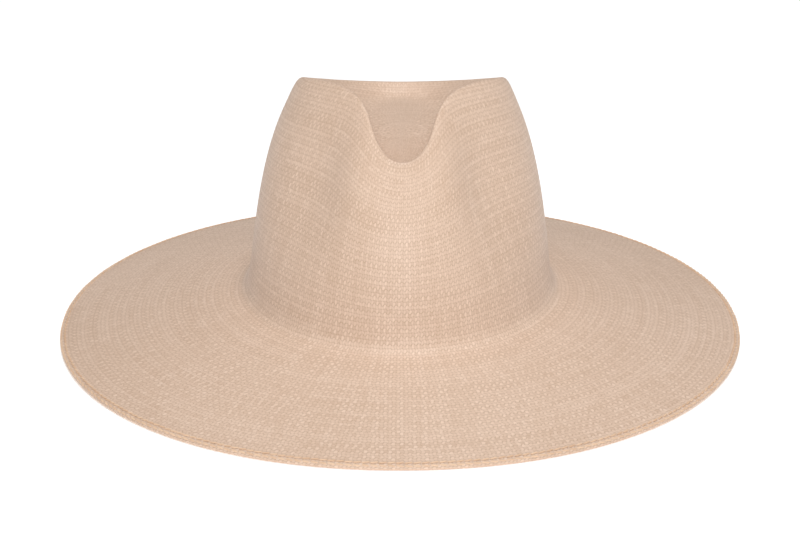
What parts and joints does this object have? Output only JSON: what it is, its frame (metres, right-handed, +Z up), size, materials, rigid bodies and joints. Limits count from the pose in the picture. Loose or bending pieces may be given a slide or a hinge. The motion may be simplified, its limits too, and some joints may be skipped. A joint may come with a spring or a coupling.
{
  "type": "wide-brimmed panama hat",
  "caption": "Wide-brimmed woven straw hat with a teardrop-dented, front-pinched crown, hemmed brim and sweatband with a sliding size adjuster.",
  "frame": {"origin": "middle of the head oval, on the level plane the brim edge rests on", "axes": "+Z up through the crown, front of the hat towards -Y, wearer's left-right along X"},
  "size_m": [0.3794, 0.4029, 0.1506],
  "materials": {
    "straw": "plain-woven pale blush straw with a soft sheen",
    "hem_wire": "drawn spring wire",
    "hem_thread": "matt sewing thread, darker than the straw",
    "band_ribbon": "cream ribbed ribbon",
    "band_thread": "matt sewing thread",
    "cord": "thin braided cord",
    "bead": "satin",
    "label": "blank woven satin tape"
  },
  "bodies": {
    "hat": {"woven_body": "straw", "brim_wire": "hem_wire", "hem_top_thread": "hem_thread", "hem_bobbin_thread": "hem_thread", "sweatband": "band_ribbon", "sweatband_thread": "band_thread", "sizing_cord": "cord", "bow_loops": "band_ribbon", "bow_knot": "band_ribbon", "care_label": "label"},
    "bead": {"sizing_bead": "bead"}
  },
  "joints": [
    {"name": "bead_slide", "type": "slide", "parent": "hat", "child": "bead", "axis": [0, 0, -1], "range_m": [0, 0.015]}
  ]
}
